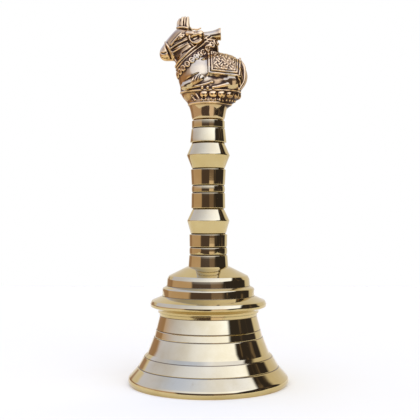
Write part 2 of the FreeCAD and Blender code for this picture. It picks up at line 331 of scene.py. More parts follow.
def smooth_path(spots, closed=False, step=0.5):
    """Catmull-Rom path through the spots, with every value blended, about a step apart."""
    spots = [np.array(spot, float) for spot in spots]
    count = len(spots)
    path = []
    for i in range(count if closed else count - 1):
        if closed:
            p0, p1, p2, p3 = (spots[(i + k) % count] for k in (-1, 0, 1, 2))
        else:
            p0, p1, p2, p3 = (spots[min(max(i + k, 0), count - 1)] for k in (-1, 0, 1, 2))
        pieces = max(2, int(np.linalg.norm((p2 - p1)[:3]) / step))
        for k in range(pieces):
            t = k / pieces
            path.append(0.5 * (2 * p1 + (p2 - p0) * t + (2 * p0 - 5 * p1 + 4 * p2 - p3) * t * t
                               + (3 * p1 - p0 - 3 * p2 + p3) * t ** 3))
    if not closed:
        path.append(spots[-1])
    return path


class Skin:
    """A dense mesh as arrays, for smoothing, carving and reading its hollows."""

    def __init__(self, mesh):
        self.mesh = mesh
        self.points = vertex_array(mesh)
        pairs = np.empty(len(mesh.edges) * 2, int)
        mesh.edges.foreach_get("vertices", pairs)
        self.pairs = pairs.reshape(-1, 2)
        self.count = len(self.points)
        self.degree = np.bincount(pairs, minlength=self.count).astype(float)

    def mean_of_neighbours(self, values):
        a, b = self.pairs[:, 0], self.pairs[:, 1]
        total = np.bincount(a, values[b], self.count) + np.bincount(b, values[a], self.count)
        return total / self.degree

    def relaxed(self, points, rounds, strength=0.5):
        points = points.copy()
        for _ in range(rounds):
            for k in range(3):
                points[:, k] += strength * (self.mean_of_neighbours(points[:, k]) - points[:, k])
        return points

    def relax(self, rounds):
        """Smooths without shrinking: a step in, then nearly as far out."""
        for _ in range(rounds):
            self.points = self.relaxed(self.points, 1, 0.52)
            self.points = self.relaxed(self.points, 1, -0.5)

    def normals(self):
        self.write()
        flat = np.empty(self.count * 3)
        self.mesh.vertex_normals.foreach_get("vector", flat)
        return flat.reshape(-1, 3)

    def write(self):
        self.mesh.vertices.foreach_set("co", self.points.ravel())
        self.mesh.update()

    def push(self, amount, normals):
        self.points += normals * amount[:, None]

    def distance_to(self, spots):
        """Distance of every point to a polyline."""
        best = np.full(self.count, 1e9)
        spots = [np.array(spot[:3], float) for spot in spots]
        for a, b in zip(spots, spots[1:] if len(spots) > 1 else spots):
            along = b - a
            length = max(along.dot(along), 1e-12)
            t = np.clip((self.points - a) @ along / length, 0, 1)
            best = np.minimum(best, np.linalg.norm(self.points - a - t[:, None] * along, axis=1))
        return best

    def carve(self, spots, width, depth):
        """A round-bottomed groove, or with a negative depth a ridge, along a polyline."""
        near = 1.0 - smoothstep(0.0, width, self.distance_to(spots))
        self.push(-depth * near, self.normals())

    def tree(self):
        self.write()
        polygons = [tuple(p.vertices) for p in self.mesh.polygons]
        return BVHTree.FromPolygons([tuple(p) for p in self.points], polygons)


# ---- The finial ----------------------------------------------------------------------------------
def body_forms():
    """Rough forms of cup, lotus base and bull, blended together."""
    clay = Clay()
    clay.turned([(7.4, 0.0), (7.9, 0.7), (8.2, 2.0), (8.5, 4.0), (8.85, 5.4), (9.35, 6.8), (10.0, 8.4),
                 (9.0, 10.5)])
    clay.ball((1.1, 0, 14.9), (14.8, 10.1, 9.6))             # lotus base
    clay.ball((8.2, 0, 8.9), (3.6, 5.5, 2.7))                # its swelling foot at the back
    clay.ball((4.0, 0, 21.3), (15.1, 9.9, 10.9))             # barrel and rump
    clay.ball((-5.6, 0, 20.5), (9.0, 9.0, 9.0))              # chest
    clay.limb([(-5.6, 0, 22, 8.8), (-7.6, 0, 26.8, 8.3), (-8.6, 0, 33, 6.4)], sides=24)
    clay.ball((0.1, 0, 34.3), (5.0, 4.6, 6.6))               # hump
    clay.ball((-5.0, 0, 37.6), (5.2, 5.0, 5.2))              # crest of the neck
    clay.ball((-11.6, 0, 38.9), (5.0, 5.0, 5.9), tilt=35)    # skull
    clay.limb([(-12.9, 0, 40.1, 4.75), (-16.8, 0, 36.5, 4.2), (-20.3, 0, 33.0, 3.3)], sides=20)
    clay.limb([(-10.5, 0, 34.2, 4.4), (-15.0, 0, 32.5, 3.6), (-19.4, 0, 31.5, 2.9)], sides=20)
    clay.ball((-20.5, 0, 32.0), (3.1, 3.6, 3.3))             # muzzle
    for side in SIDES:
        clay.ball((-12.8, side * 2.5, 34.8), (3.6, 2.7, 3.0))             # cheek
        clay.ball((-13.2, side * 3.4, 38.6), (2.4, 1.5, 1.5), tilt=45)    # eye socket's swelling
        clay.ball((-5.0, side * 5.4, 20.8), (6.4, 4.5, 8.4))              # shoulder
        clay.ball((11.0, side * 6.0, 18.8), (5.6, 4.4, 6.6))              # thigh
        clay.ball((3.0, side * 6.3, 20.6), (5.6, 3.3, 3.4))               # flank under the cloth
    skin = Skin(clay.skin(ROUGH_VOXEL))
    skin.points = skin.relaxed(skin.points, 14)
    skin.write()
    return skin


def loop_around(tree, centre, forward, sideways, lift, count=72):
    """Closed path where a plane through the centre meets the body, lifted off it by lift."""
    path = []
    for k in range(count):
        turn = TAU * k / count
        ray = Vector(forward) * math.cos(turn) + Vector(sideways) * math.sin(turn)
        hit = tree.ray_cast(Vector(centre), ray)[0]
        if hit is not None:
            path.append(hit + ray.normalized() * lift)
    return path


def side_spot(tree, x, z, side, lift=0.0):
    """Point of the body seen from one side at (x, z), lifted off it; past its outline, the nearest."""
    far_out, near_flank = 40, 8
    hit, normal = tree.ray_cast(Vector((x, side * far_out, z)), Vector((0, -side, 0)))[:2]
    if hit is None:
        hit, normal = tree.find_nearest(Vector((x, side * near_flank, z)))[:2]
    return hit + normal * lift


def cord(clay, path, radius):
    """Round cord of one radius along a closed path."""
    clay.limb([tuple(p) + (radius,) for p in path], closed=True, sides=8)


def strap(clay, tree, spots, side, radius, lift=0.0):
    """Thin cord laid on one side of the body, through (x, z) spots."""
    path = [np.array((x, z, 0.0)) for x, z in spots]
    dense = smooth_path(path, step=0.8)
    clay.limb([tuple(side_spot(tree, p[0], p[1], side, lift)) + (radius,) for p in dense], sides=8)


def beads(path, spacing, maker):
    """Calls maker(position, direction) at even steps along a closed path."""
    loop = [Vector(p) for p in path] + [Vector(path[0])]
    lengths = [(b - a).length for a, b in zip(loop, loop[1:])]
    count = round(sum(lengths) / spacing)
    step = sum(lengths) / count
    travelled, target = 0.0, 0.0
    for a, b, length in zip(loop, loop[1:], lengths):
        while target < travelled + length and target < step * count - step / 2:
            maker(a.lerp(b, (target - travelled) / length), (b - a).normalized())
            target += step
        travelled += length


def add_headdress(clay):
    """Fluted crest and two short horns standing close together on a corded band."""
    clay.ball((-11.9, 0, 46.2), (3.0, 2.0, 2.9))
    clay.limb([(-13.8, 0, 43.6, 1.5), (-13.9, 0, 47.0, 1.35), (-13.5, 0, 48.5, 1.05)], sides=16)
    band = [(-11.6 + 3.5 * math.cos(TAU * k / 20), 3.3 * math.sin(TAU * k / 20),
             44.3 - 0.5 * math.cos(TAU * k / 20), 0.5) for k in range(20)]
    clay.limb(band, closed=True, sides=8)
    clay.ball((-11.4, 0, 44.2), (3.5, 3.2, 1.9))
    for side in SIDES:
        clay.limb([(-12.6, side * 1.5, 43.8, 0.95), (-12.6, side * 1.5, 46.8, 0.85),
                   (-12.4, side * 1.2, 49.2, 0.75)], sides=12)
        clay.limb([(-11.2, side * 1.7, 44.0, 0.8), (-11.2, side * 1.6, 47.2, 0.75),
                   (-11.1, side * 1.1, 49.5, 0.7)], sides=12)
        clay.limb([(-9.8, side * 2.1, 43.4, 1.15), (-9.9, side * 2.2, 46.4, 0.85),
                   (-9.8, side * 1.7, 49.3, 0.65)], sides=12)


def add_ear(clay, side):
    """Leaf-shaped ear, cupped low at the front, with a broad rolled flange above and behind."""
    clay.limb([(-9.6, side * 4.3, 41.0, 1.5), (-7.4, side * 5.2, 40.6, 1.5)], sides=12)
    clay.ball((-5.5, side * 5.1, 39.1), (3.55, 1.9, 3.2), tilt=-15)
    clay.ball((-4.2, side * 5.4, 40.3), (2.3, 1.7, 1.9), tilt=-30)
    clay.limb([(-8.4, side * 5.5, 40.9, 0.6), (-8.9, side * 5.7, 38.8, 0.55), (-7.6, side * 6.0, 36.8, 0.6),
               (-5.4, side * 6.2, 36.2, 0.6), (-3.4, side * 6.1, 37.4, 0.55)], sides=10)


def hollow_ear(skin, side):
    """Sinks the ear's cup, leaving one fold standing in it."""
    level = side * 6.7
    skin.carve([(-7.3, level, 38.3), (-5.0, level, 38.7)], 1.75, 1.5)
    skin.carve([(-7.0, side * 5.8, 38.0), (-5.2, side * 5.8, 38.8)], 0.7, -0.75)


def add_face(clay, tree, side):
    eye_x, eye_z = -12.9, 39.2
    eye = side_spot(tree, eye_x, eye_z, side)
    clay.ball(tuple(eye), (0.95, 0.55, 0.75), tilt=40)
    for rise, radius in ((0.95, 0.32), (-0.8, 0.26)):
        lid = []
        for k in range(9):
            t = k / 4 - 1
            along, over = 1.75 * t, rise * (1 - t * t)
            lid.append((eye_x + 0.72 * along - 0.41 * over, eye_z + 0.69 * along + 0.72 * over))
        strap(clay, tree, lid, side, radius, 0.05)
    strap(clay, tree, [(-17.6, 36.0), (-15.2, 38.8), (-12.8, 41.2)], side, 0.42, 0.05)   # brow
    strap(clay, tree, [(-17.8, 34.2), (-14.0, 36.4), (-9.4, 38.4)], side, 0.36, 0.1)     # bridle
    strap(clay, tree, [(-17.0, 32.4), (-13.4, 34.0), (-9.0, 36.2)], side, 0.36, 0.1)


def add_legs(clay, side):
    """Folded fore leg and hind leg, lying on the base."""
    clay.limb([(-3.6, side * 8.0, 19.0, 2.0), (-7.2, side * 8.5, 17.2, 2.05),
               (-10.4, side * 7.5, 15.8, 2.2)], sides=16)
    clay.ball((-10.0, side * 7.3, 15.6), (3.1, 2.4, 2.1), tilt=-20)
    clay.limb([(-9.4, side * 8.3, 14.6, 0.7), (-3.4, side * 9.4, 15.5, 0.65),
               (1.2, side * 9.6, 16.9, 0.55)], sides=12)
    clay.ball((1.6, side * 9.5, 17.1), (1.1, 0.8, 0.7))
    for shift in (0.0, 1.5, 3.0):
        ring = []
        for k in range(16):
            turn = TAU * k / 16
            ring.append((-4.6 - shift + 0.8 * math.cos(turn), side * 8.1 + 2.35 * math.sin(turn),
                         18.9 - 0.5 * shift + 2.2 * math.cos(turn), 0.34))
        clay.limb(ring, closed=True, sides=8)
    clay.limb([(12.6, side * 8.0, 17.0, 1.3), (8.7, side * 9.1, 15.9, 1.0), (4.0, side * 9.7, 14.7, 0.8)],
              sides=12)
    clay.ball((3.2, side * 9.6, 14.6), (1.3, 0.9, 0.8))


def add_garlands(clay, tree):
    """A smooth cord and a flower chain round the neck."""
    for centre, lift, radius in (((-10.4, 0, 30.7), 0.15, 0.55), ((-9.5, 0, 29.7), 0.0, 0.36)):
        cord(clay, loop_around(tree, centre, (-0.74, 0, -0.67), (0, 1, 0), lift), radius)
    chain = loop_around(tree, (-7.3, 0, 28.0), (-0.76, 0, -0.65), (0, 1, 0), 0.05)

    def flower(spot, along):
        out = tree.find_nearest(spot)[1]
        across = along.cross(out).normalized()
        clay.ball(tuple(spot), 0.5, rows=8, columns=10)
        petals = []
        for k in range(16):
            turn = TAU * k / 16
            petal = spot + along * math.cos(turn) * 0.95 + across * math.sin(turn) * 1.2 + out * 0.15
            petals.append(tuple(petal) + (0.4 + 0.08 * (k % 2),))
        clay.limb(petals, closed=True, sides=8)

    beads(chain, 2.75, flower)


def add_base(clay, tree):
    """Ledge, band, studs and lotus petals of the base, the petals along both sides and the back. Returns
    the notches to be cut low in every other petal."""
    def level_loop(level, lift=0.0):
        return loop_around(tree, (1.6, 0, level), (1, 0, 0), (0, 1, 0), lift)

    cord(clay, level_loop(13.3, 0.05), 0.42)
    cord(clay, level_loop(7.5), 0.34)
    notches, petals = [], []

    def petal(spot, along):
        if spot.x < -4.6:
            return
        out = tree.find_nearest(spot)[1]
        up = out.cross(along).normalized()
        up = up if up.z > 0 else -up
        sink = 0.75 if spot.x < 11.0 else 1.0
        dome = spot - out * sink
        clay.limb([tuple(dome - along * 0.25) + (2.0,), tuple(dome + along * 0.25) + (2.0,)], sides=20)
        for shift in (-0.9, 0.9):
            foot = tree.find_nearest(spot + along * shift - up * 2.9)[0]
            clay.limb([tuple(dome + along * shift - up * 1.5) + (0.6,), tuple(foot) + (0.5,)], sides=10)
        petals.append(spot)
        if len(petals) % 2:
            notches.append([tuple(spot + out * 1.0 - up * 1.2), tuple(spot + out * 0.7 - up * 2.0)])

    def stud(spot, along):
        if -3.6 < spot.x < 3.0:
            clay.ball(tuple(spot + Vector((0, math.copysign(0.15, spot.y), 0))), 0.75, rows=8, columns=10)

    beads(level_loop(11.4), 4.3, petal)
    beads(level_loop(14.4), 2.6, stud)
    for side in SIDES:
        strap(clay, tree, [(-7.7, 11.0), (-6.9, 9.9), (-6.2, 8.9)], side, 0.5)       # leaf under the knee
    return notches


def add_tail(clay, tree):
    """Tail laid down the rump."""
    path = []
    for x, y, z, radius in ((15.0, -1.5, 29.0, 0.9), (17.2, -3.8, 25.6, 0.8), (17.8, -5.2, 21.6, 0.75),
                            (16.9, -6.4, 17.4, 0.8), (14.6, -7.8, 14.0, 0.8)):
        near, normal = tree.find_nearest(Vector((x, y, z)))[:2]
        path.append(tuple(near + normal * 0.25) + (radius,))
    clay.limb(path, sides=10)


def cloth_field(points):
    """How deep a point lies inside the saddle cloth, from its nearest edge; negative outside."""
    x, y, z = points.T
    front = x + 0.1 + 0.03 * (z - 25)
    back = 15.1 - x + 0.05 * (z - 20)
    bottom = z - (21.1 - 0.11 * x)
    return np.minimum(np.minimum(front, back), bottom)


def carve_cloth(skin):
    """Raises the cloth, with a double border and a worked field."""
    normals = skin.normals()
    inside = cloth_field(skin.points)
    x, y, z = skin.points.T
    on_hump = (x < 6.4) & (z > 32.6)
    inside = np.where(on_hump, -1.0, inside)
    height = 0.5 * smoothstep(-0.15, 0.2, inside)
    height -= 0.45 * smoothstep(0.75, 1.0, inside) * (1 - smoothstep(1.35, 1.6, inside))
    height -= 0.3 * smoothstep(2.05, 2.2, inside) * (1 - smoothstep(2.4, 2.6, inside))
    field = smoothstep(2.5, 2.9, inside)
    back_level = 29.0                # over it the pattern runs across the back, under it down the flank
    along = np.where(z > back_level, np.abs(y), back_level + 10 - z)
    scroll = np.sin(2.6 * x + 1.3 * np.sin(1.9 * along)) * np.cos(2.4 * along + 1.2 * np.sin(2.1 * x))
    height += field * 0.24 * smoothstep(-0.2, 0.45, scroll) - field * 0.12
    skin.push(height, normals)


def hollows(skin):
    """For every point, how deep it lies below its surroundings, at three scales."""
    normals = skin.normals()
    total = np.zeros(skin.count)
    last = skin.points
    rounds_done = 0
    for rounds, gain in ((3, 9.0), (14, 3.0), (60, 1.1)):
        last = skin.relaxed(last, rounds - rounds_done)
        rounds_done = rounds
        depth = np.einsum("ij,ij->i", last - skin.points, normals)
        total += np.clip(depth * gain, -1, 1)
    for _ in range(2):
        total = 0.5 * (total + skin.mean_of_neighbours(total))
    return total


def base_shade(skin):
    """Painted shade on the base's underside: how much darker its down-facing surface is painted, most of
    all at the back.
    """
    x, z = skin.points[:, 0], skin.points[:, 2]
    facing_down = smoothstep(0.15, 0.75, -skin.normals()[:, 2])
    # painted shade: darker where the surface faces down, above the foot and towards the back
    return (0.5 * facing_down * smoothstep(5.0, 6.2, z) * (1 - smoothstep(13.0, 15.0, z))
            * smoothstep(2.0, 8.0, x))


def rubbed_bright(skin):
    """0 to 1: how much hands have polished every point: cup, hump, nose, shoulders, knees and thighs."""
    cup = 1 - smoothstep(5.6, 7.4, skin.points[:, 2])
    places = [([(-3.0, 0, 40.5), (5.0, 0, 41.1)], 3.2), ([(-15.2, 0, 44.0), (-22.6, 0, 34.5)], 3.0)]
    for side in SIDES:
        places.append(([(-4.0, side * 8.6, 27.5), (-4.6, side * 9.0, 23.5), (-1.8, side * 9.4, 21.5)], 4.6))
        places.append(([(-11.5, side * 7.2, 15.2), (-9.4, side * 8.6, 16.2)], 2.8))
        places.append(([(10.0, side * 9.6, 19.5), (11.0, side * 9.6, 16.5)], 3.4))
    total = cup
    for path, reach in places:
        total = np.maximum(total, 1 - smoothstep(0.7 * reach, reach, skin.distance_to(path)))
    return total


# lines cut on both sides: (x, z, lift) spots, width, depth
SIDE_LINES = (
    (((-22.5, 32.2, 0.2), (-21.4, 31.8, 0.2), (-20.2, 32.2, 0.2)), 0.6, 0.7),        # nostril
    (((-22.4, 30.2, 0.1), (-20.8, 29.7, 0.1), (-19.2, 29.8, 0.1)), 0.35, 0.3),       # mouth
    (((-20.4, 35.2, 0.1), (-19.5, 33.2, 0.1), (-18.5, 31.2, 0.1), (-17.8, 29.4, 0.1)), 0.6, 0.6),
    (((-17.0, 34.0, 0.1), (-13.8, 35.6, 0.1), (-10.0, 37.4, 0.1)), 0.5, 0.5),        # between the straps
    (((-16.0, 37.0, 0.1), (-13.9, 37.9, 0.1), (-11.0, 39.2, 0.1)), 0.5, 0.5),        # under the eye
    (((-9.2, 42.6, 0.1), (-9.3, 39.6, 0.1), (-9.2, 36.4, 0.1), (-7.4, 34.6, 0.1)), 0.6, 0.8),  # nape
    (((-12.4, 31.4, 0.0), (-10.4, 32.4, 0.0), (-7.8, 34.2, 0.0)), 0.6, 0.4),
    (((0.4, 19.8, 0.0), (4.0, 19.0, 0.0), (8.4, 19.4, 0.0)), 1.5, 0.45),             # belly under the cloth
    (((13.2, 19.4, 0.0), (14.6, 17.6, 0.0), (14.6, 15.0, 0.0)), 0.8, 0.6),           # behind the thigh
    (((-10.6, 17.9, 0.4), (-7.6, 19.7, 0.4), (-4.6, 21.2, 0.4)), 0.55, 0.7),         # over the fore leg
)


def make_finial(name, foot_level):
    """The whole finial, modelled in millimetres and then set on its foot level in metres."""
    body = body_forms()
    tree = body.tree()
    clay = Clay()
    clay.add([tuple(p) for p in body.points], [tuple(p.vertices) for p in body.mesh.polygons])
    clay.limb([(-3.4, 0, 40.8, 1.9), (1.0, 0, 41.1, 2.1), (4.2, 0, 41.5, 2.6), (5.6, 0, 41.7, 3.05),
               (6.0, 0, 41.7, 2.75), (5.5, 0, 41.7, 0.5)], sides=28)                      # cap of the hump
    clay.limb([(-9.4, 3.2, 44.2, 0.8), (-7.4, 4.1, 45.2, 0.5), (-5.5, 4.6, 45.2, 0.45),
               (-3.8, 4.8, 45.9, 0.42)], sides=10)                                   # tip of the far ear
    add_headdress(clay)
    add_garlands(clay, tree)
    notches = add_base(clay, tree)
    for side in SIDES:
        add_ear(clay, side)
        add_face(clay, tree, side)
        add_legs(clay, side)
        strap(clay, tree, [(-2.6, 38.9), (1.0, 38.2), (4.4, 38.1)], side, 0.42, 0.05)
        strap(clay, tree, [(-2.6, 37.6), (1.0, 36.9), (4.6, 36.8)], side, 0.3, 0.0)
        clay.ball(tuple(side_spot(tree, 0.6, 35.2, side)), (1.5, 0.8, 1.0))
    add_tail(clay, tree)
    cord(clay, loop_around(tree, (-17.9, 0, 32.7), (0.5, 0, -0.87), (0, 1, 0), 0.0, 40), 0.45)

    skin = Skin(clay.skin(FINE_VOXEL))
    skin.relax(3)
    carve_cloth(skin)
    for notch in notches:
        skin.carve(notch, 0.6, 0.9)
    for side in SIDES:
        hollow_ear(skin, side)
        for path, width, depth in SIDE_LINES:
            skin.carve([tuple(side_spot(tree, x, z, side, lift)) for x, z, lift in path], width, depth)
        for x in (-13.3, -11.9, -10.5):
            flute = [(x, side * 2.3, 45.3), (x, side * 2.0, 47.4), (x + 0.1, side * 1.3, 49.2)]
            skin.carve(flute, 0.32, 0.5)
    skin.carve([(-15.6, 0, 45.2), (-15.4, 0, 48.4)], 0.35, 0.35)
    skin.points = skin.relaxed(skin.points, 1, 0.3)
    # patina in the hollows, plus painted shade under the base
    patina_and_painted_shade = hollows(skin) + base_shade(skin)
    polished = rubbed_bright(skin)
    skin.points = skin.points * MM + np.array((0, 0, foot_level))
    skin.write()
    point_values(skin.mesh, "patina_and_painted_shade", patina_and_painted_shade)
    point_values(skin.mesh, "polished", polished)
    shade_smooth(skin.mesh)
    return in_scene(name, skin.mesh)


# ---- Materials -----------------------------------------------------------------------------------
BRASS = (0.60, 0.475, 0.225)
CLAPPER_BRASS = (0.52, 0.38, 0.17)
# painted shade, laid in grooves and on marked lines
GROOVE_PAINTED_SHADE = (0.11, 0.065, 0.025, 1)
AGED, RUBBED = (0.42, 0.25, 0.095, 1), (0.80, 0.53, 0.22, 1)
# the darkest colour serves both the hollows' patina and the painted shade under the base
HANDLED, PATINA_AND_SHADE_BLACK = (0.60, 0.45, 0.225, 1), (0.055, 0.025, 0.010, 1)


class Nodes:
    """Short way to write a node tree."""

    def __init__(self, tree):
        self.tree = tree
        tree.nodes.clear()

    def feed(self, socket, value):
        """Links the socket to another node's output, or sets it to a constant."""
        if isinstance(value, bpy.types.NodeSocket):
            self.tree.links.new(value, socket)
        else:
            socket.default_value = value

    def add(self, kind, inputs=None, **settings):
        node = self.tree.nodes.new(kind)
        for key, value in settings.items():
            setattr(node, key, value)
        for key, value in (inputs or {}).items():
            self.feed(node.inputs[key], value)
        return node

    def math(self, operation, *values, clamp=False):
        node = self.add("ShaderNodeMath", dict(enumerate(values)), operation=operation, use_clamp=clamp)
        return node.outputs[0]

    def step(self, value, low, high, out_low=0.0, out_high=1.0):
        """Smooth step from out_low to out_high as value goes from low to high."""
        inputs = {"Value": value, "From Min": low, "From Max": high, "To Min": out_low, "To Max": out_high}
        return self.add("ShaderNodeMapRange", inputs, interpolation_type="SMOOTHSTEP").outputs[0]

    def mix(self, factor, first, second):
        inputs = {0: factor, 6: first, 7: second}
        return self.add("ShaderNodeMix", inputs, data_type="RGBA").outputs[2]

    def noise(self, vector, scale, detail=3.0, roughness=0.55):
        inputs = {"Vector": vector, "Scale": scale, "Detail": detail, "Roughness": roughness}
        return self.add("ShaderNodeTexNoise", inputs).outputs[0]

    def place(self, stretch=(1.0, 1.0, 1.0)):
        """Position on the object, in metres, stretched."""
        spot = self.add("ShaderNodeTexCoord").outputs["Object"]
        return self.add("ShaderNodeMapping", {"Vector": spot, "Scale": stretch}).outputs[0]

    def bump(self, height, strength, distance):
        inputs = {"Height": height, "Strength": strength, "Distance": distance}
        return self.add("ShaderNodeBump", inputs).outputs[0]


def new_material(name):
    material = bpy.data.materials.new(name)
    material.use_nodes = True
    nodes = Nodes(material.node_tree)
    shader = nodes.add("ShaderNodeBsdfPrincipled")
    output = nodes.add("ShaderNodeOutputMaterial")
    material.node_tree.links.new(shader.outputs[0], output.inputs[0])
    return material, nodes, shader


def plug(nodes, shader, **sockets):
    for name, value in sockets.items():
        nodes.feed(shader.inputs[name.replace("_", " ")], value)


def toned(tone, red, green, blue):
    """The tone with each of its colours scaled."""
    return (tone[0] * red, tone[1] * green, tone[2] * blue, 1.0)


def turned_lines(nodes, scale):
    """Faint rings left by the lathe: noise that changes quickly with level and not around the piece."""
    return nodes.noise(nodes.place((6.0, 6.0, scale)), 1.0, 4.0, 0.6)


def polished_brass(name, tone, rough_low, rough_high, wear):
    """Turned and buffed brass: soft clouds of colour, fine rings, smudges, and painted shade in its grooves
    and on its marked lines.
    """
    material, nodes, shader = new_material(name)
    clouds = nodes.noise(nodes.place(), 55.0, 4.0)
    rings = turned_lines(nodes, 2600.0)
    fine = nodes.noise(nodes.place(), 900.0, 3.0)
    groove = nodes.add("ShaderNodeAttribute", attribute_name="groove").outputs["Fac"]
    pale, deep = toned(tone, 1.05, 1.05, 1.05), toned(tone, 0.93, 0.89, 0.8)
    stain = toned(tone, 0.7, 0.6, 0.45)
    colour = nodes.mix(nodes.step(clouds, 0.35, 0.7), pale, deep)
    smudge = nodes.step(nodes.noise(nodes.place(), 120.0, 5.0), 0.62, 0.8)
    colour = nodes.mix(nodes.math("MULTIPLY", smudge, wear), colour, stain)
    # painted shade: grooves and marked lines painted dark in place of their shadows and dark reflections
    colour = nodes.mix(nodes.step(groove, 0.15, 0.85, 0.0, 0.9), colour, GROOVE_PAINTED_SHADE)
    roughness = nodes.step(nodes.math("ADD", rings, nodes.math("MULTIPLY", smudge, 0.3)), 0.35, 0.95,
                           rough_low, rough_high)
    roughness = nodes.math("ADD", roughness, nodes.math("MULTIPLY", groove, 0.3))
    height = nodes.math("ADD", nodes.math("MULTIPLY", rings, 0.7), nodes.math("MULTIPLY", fine, 0.3))
    plug(nodes, shader, Base_Color=colour, Metallic=1.0, Roughness=roughness,
         Normal=nodes.bump(height, 0.25, 0.00002))
    return material


def bell_inside(name, tone):
    """As-cast and turned inside: duller, darker, with coarser tool lines and spots of tarnish."""
    material, nodes, shader = new_material(name)
    rings = turned_lines(nodes, 1300.0)
    spots = nodes.step(nodes.noise(nodes.place(), 260.0, 6.0, 0.65), 0.5, 0.72)
    pale, dark = toned(tone, 0.8, 0.74, 0.62), toned(tone, 0.38, 0.3, 0.2)
    colour = nodes.mix(spots, pale, dark)
    colour = nodes.mix(nodes.step(rings, 0.3, 0.8, 0.0, 0.35), colour, dark)
    roughness = nodes.step(nodes.math("ADD", rings, spots), 0.4, 1.6, 0.26, 0.5)
    height = nodes.math("ADD", rings, nodes.math("MULTIPLY", spots, -0.4))
    plug(nodes, shader, Base_Color=colour, Metallic=1.0, Roughness=roughness,
         Normal=nodes.bump(height, 0.5, 0.00006))
    return material


def antique_brass(name):
    """Cast brass: black-brown patina in the hollows and painted shade under the base, rubbed bright on what
    stands out.
    """
    material, nodes, shader = new_material(name)
    patina_and_painted_shade = nodes.add("ShaderNodeAttribute", attribute_name="patina_and_painted_shade").outputs["Fac"]
    polished = nodes.add("ShaderNodeAttribute", attribute_name="polished").outputs["Fac"]
    grain = nodes.noise(nodes.place(), 800.0, 5.0, 0.6)
    clouds = nodes.noise(nodes.place(), 170.0, 4.0)
    depth = nodes.math("ADD", patina_and_painted_shade, nodes.math("MULTIPLY", nodes.math("SUBTRACT", clouds, 0.5), 0.5))
    depth = nodes.math("ADD", depth, nodes.math("MULTIPLY", nodes.math("SUBTRACT", grain, 0.5), 0.25))
    depth = nodes.math("SUBTRACT", depth, nodes.math("MULTIPLY", polished, 0.25))
    rubbed = nodes.step(depth, 0.0, -0.5)
    patina_and_shade = nodes.step(depth, -0.06, 0.36)
    colour = nodes.mix(rubbed, AGED, RUBBED)
    colour = nodes.mix(polished, colour, HANDLED)
    # black-brown patina in the hollows, and painted shade on the base's underside
    colour = nodes.mix(patina_and_shade, colour, PATINA_AND_SHADE_BLACK)
    bare = nodes.math("SUBTRACT", 1.0, polished)
    roughness = nodes.math("ADD", nodes.step(patina_and_shade, 0.0, 1.0, 0.09, 0.42),
                           nodes.math("MULTIPLY", nodes.step(grain, 0.4, 0.8, 0.02, 0.10), bare))
    metallic = nodes.step(patina_and_shade, 0.35, 1.0, 1.0, 0.7)
    bump_strength = nodes.math("MULTIPLY_ADD", bare, 0.14, 0.03)
    bump = nodes.bump(nodes.math("ADD", grain, clouds), bump_strength, 0.00006)
    plug(nodes, shader, Base_Color=colour, Metallic=metallic, Roughness=roughness, Normal=bump)
    return material


def worked_metal(name, pale, dark, roughness, grain_scale, stretch=(1.0, 1.0, 1.0)):
    """Plain metal with mottled colour, tool marks and darkened spots, for the hidden ironwork."""
    material, nodes, shader = new_material(name)
    grain = nodes.noise(nodes.place(stretch), grain_scale, 5.0, 0.6)
    spots = nodes.step(nodes.noise(nodes.place(), 420.0, 5.0), 0.48, 0.7)
    colour = nodes.mix(nodes.step(grain, 0.3, 0.7, 0.0, 0.6), pale + (1,), dark + (1,))
    colour = nodes.mix(nodes.math("MULTIPLY", spots, 0.6), colour, dark + (1,))
    rough = nodes.step(nodes.math("ADD", grain, spots), 0.4, 1.5, roughness * 0.8, roughness * 1.4)
    plug(nodes, shader, Base_Color=colour, Metallic=1.0, Roughness=rough,
         Normal=nodes.bump(grain, 0.4, 0.00005))
    return material


# ---- Studio --------------------------------------------------------------------------------------
# where the camera stands, in heights of the bell: away from it and above its foot
CAMERA_AWAY, CAMERA_ABOVE = 2.12, 0.4376
CAMERA_SIDE = 0.0008         # metres
CAMERA_TILT = 90.865         # degrees; 90 is level
SENSOR, LENS = 36.0, 66.4    # millimetres
BACKDROP = (0.88, 0.85, 0.82, 1)
BROWN_WALL, WALL_FOOT = (0.69, 0.535, 0.49, 1), (0.46, 0.31, 0.24, 1)
DARK_ROOM, DARK_CORNER = (0.11, 0.085, 0.10, 1), (0.06, 0.05, 0.055, 1)
GAP_BRIGHT, GAP_DIM = (1.0, 0.88, 0.92, 1), (0.26, 0.20, 0.20, 1)
FLAG_DARK, FLAG_FOLD = (0.045, 0.04, 0.05, 1), (0.24, 0.19, 0.17, 1)


